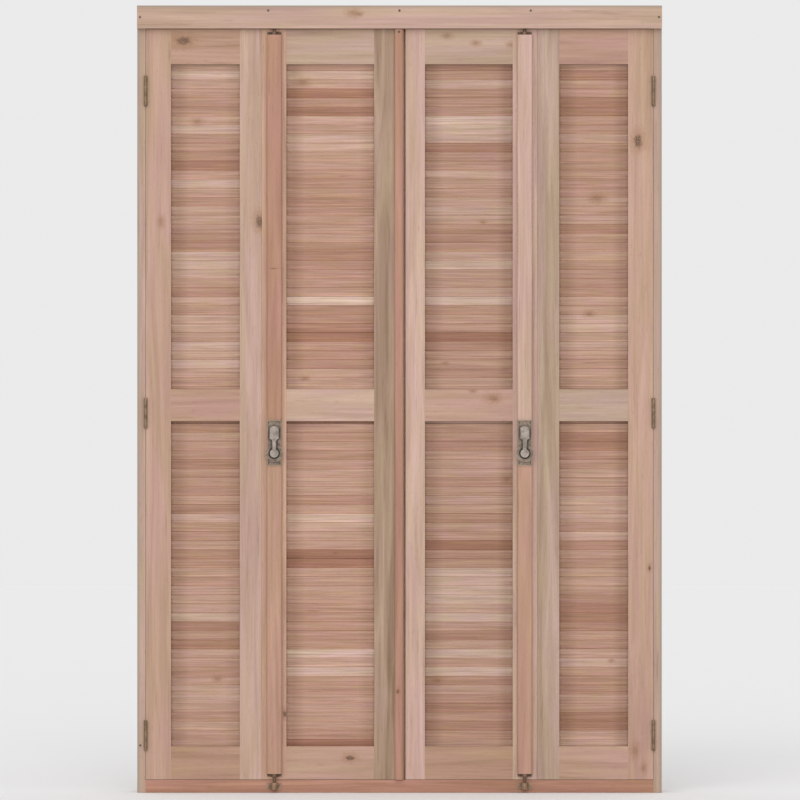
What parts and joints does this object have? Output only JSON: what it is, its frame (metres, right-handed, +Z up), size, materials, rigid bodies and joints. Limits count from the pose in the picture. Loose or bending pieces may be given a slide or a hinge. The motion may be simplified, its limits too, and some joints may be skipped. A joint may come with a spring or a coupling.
{
  "type": "folding louvred patio door",
  "caption": "Wooden patio door set with a frame and folding louvred leaves on butt hinges, locked by lever handles that drive vertical bolts into head and sill.",
  "frame": {"origin": "centre of the sill's underside, at mid depth of the frame", "axes": "+Z up, -Y toward the room side with the levers, +X to the right seen from that side"},
  "size_m": [1.4, 0.152, 2.1],
  "materials": {
    "pale_wood": "raw, planed, unfinished",
    "red_wood": "raw, planed, unfinished",
    "aged_metal": "aged silver",
    "bronzed_steel": "bronzed",
    "bolt_steel": "dull steel",
    "steel_fasteners": "plain steel"
  },
  "bodies": {
    "frame": {"door_stops": "pale_wood", "frame_nails": "steel_fasteners", "head": "pale_wood", "head_fascia": "pale_wood", "head_keepers": "bronzed_steel", "jamb_hinge_pins": "bronzed_steel", "jamb_hinge_plates": "bronzed_steel", "left_jamb": "pale_wood", "right_jamb": "pale_wood", "sill": "red_wood", "sill_keepers": "bronzed_steel"},
    "left_outer_leaf": {"left_outer_bottom_rail": "pale_wood", "left_outer_fold_stile": "pale_wood", "left_outer_hinge_plates": "bronzed_steel", "left_outer_hinge_stile": "pale_wood", "left_outer_mid_rail": "pale_wood", "left_outer_slats": "pale_wood", "left_outer_top_rail": "pale_wood", "left_fold_hinge_pins": "bronzed_steel"},
    "left_inner_leaf": {"left_inner_bottom_rail": "pale_wood", "left_inner_fold_stile": "pale_wood", "left_inner_hinge_plates": "bronzed_steel", "left_inner_meeting_stile": "pale_wood", "left_inner_mid_rail": "pale_wood", "left_inner_screws": "steel_fasteners", "left_inner_slats": "pale_wood", "left_inner_top_rail": "pale_wood", "left_lock_case": "aged_metal", "left_cover_strips": "red_wood", "left_bolt_guides": "aged_metal", "meeting_strip": "red_wood"},
    "left_handle": {"left_lever": "aged_metal", "left_pinion": "bolt_steel"},
    "left_upper_bolt_rod": {"left_upper_bolt": "bolt_steel"},
    "left_lower_bolt_rod": {"left_lower_bolt": "bolt_steel"},
    "right_outer_leaf": {"right_outer_bottom_rail": "pale_wood", "right_outer_fold_stile": "pale_wood", "right_outer_hinge_plates": "bronzed_steel", "right_outer_hinge_stile": "pale_wood", "right_outer_mid_rail": "pale_wood", "right_outer_slats": "pale_wood", "right_outer_top_rail": "pale_wood", "right_fold_hinge_pins": "bronzed_steel"},
    "right_inner_leaf": {"right_inner_bottom_rail": "pale_wood", "right_inner_fold_stile": "pale_wood", "right_inner_hinge_plates": "bronzed_steel", "right_inner_meeting_stile": "pale_wood", "right_inner_mid_rail": "pale_wood", "right_inner_screws": "steel_fasteners", "right_inner_slats": "pale_wood", "right_inner_top_rail": "pale_wood", "right_lock_case": "aged_metal", "right_cover_strips": "red_wood", "right_bolt_guides": "aged_metal"},
    "right_handle": {"right_lever": "aged_metal", "right_pinion": "bolt_steel"},
    "right_upper_bolt_rod": {"right_upper_bolt": "bolt_steel"},
    "right_lower_bolt_rod": {"right_lower_bolt": "bolt_steel"}
  },
  "joints": [
    {"name": "left_swing", "type": "hinge", "parent": "frame", "child": "left_outer_leaf", "pos_m": [-0.6776, -0.065, 1], "axis": [0, 0, -1], "range_deg": [0, 90]},
    {"name": "left_fold", "type": "hinge", "parent": "left_outer_leaf", "child": "left_inner_leaf", "pos_m": [-0.36, -0.025, 1], "axis": [0, 0, 1], "range_deg": [0, 162]},
    {"name": "left_lever_turn", "type": "hinge", "parent": "left_inner_leaf", "child": "left_handle", "pos_m": [-0.334, -0.068, 0.906], "axis": [0, 1, 0], "range_deg": [0, 90]},
    {"name": "left_upper_bolt_slide", "type": "slide", "parent": "left_inner_leaf", "child": "left_upper_bolt_rod", "axis": [0, 0, 1], "range_m": [0, 0.01257]},
    {"name": "left_lower_bolt_slide", "type": "slide", "parent": "left_inner_leaf", "child": "left_lower_bolt_rod", "axis": [0, 0, -1], "range_m": [0, 0.01257]},
    {"name": "right_swing", "type": "hinge", "parent": "frame", "child": "right_outer_leaf", "pos_m": [0.6776, -0.065, 1], "axis": [0, 0, 1], "range_deg": [0, 90]},
    {"name": "right_fold", "type": "hinge", "parent": "right_outer_leaf", "child": "right_inner_leaf", "pos_m": [0.36, -0.025, 1], "axis": [0, 0, -1], "range_deg": [0, 162]},
    {"name": "right_lever_turn", "type": "hinge", "parent": "right_inner_leaf", "child": "right_handle", "pos_m": [0.334, -0.068, 0.906], "axis": [0, -1, 0], "range_deg": [0, 90]},
    {"name": "right_upper_bolt_slide", "type": "slide", "parent": "right_inner_leaf", "child": "right_upper_bolt_rod", "axis": [0, 0, 1], "range_m": [0, 0.01257]},
    {"name": "right_lower_bolt_slide", "type": "slide", "parent": "right_inner_leaf", "child": "right_lower_bolt_rod", "axis": [0, 0, -1], "range_m": [0, 0.01257]}
  ],
  "couplings": [
    {"joint": "left_fold", "follows": "left_swing", "ratio": 1.8},
    {"joint": "left_upper_bolt_slide", "follows": "left_lever_turn", "m_per_rad": 0.008},
    {"joint": "left_lower_bolt_slide", "follows": "left_lever_turn", "m_per_rad": 0.008},
    {"joint": "right_fold", "follows": "right_swing", "ratio": 1.8},
    {"joint": "right_upper_bolt_slide", "follows": "right_lever_turn", "m_per_rad": 0.008},
    {"joint": "right_lower_bolt_slide", "follows": "right_lever_turn", "m_per_rad": 0.008}
  ]
}
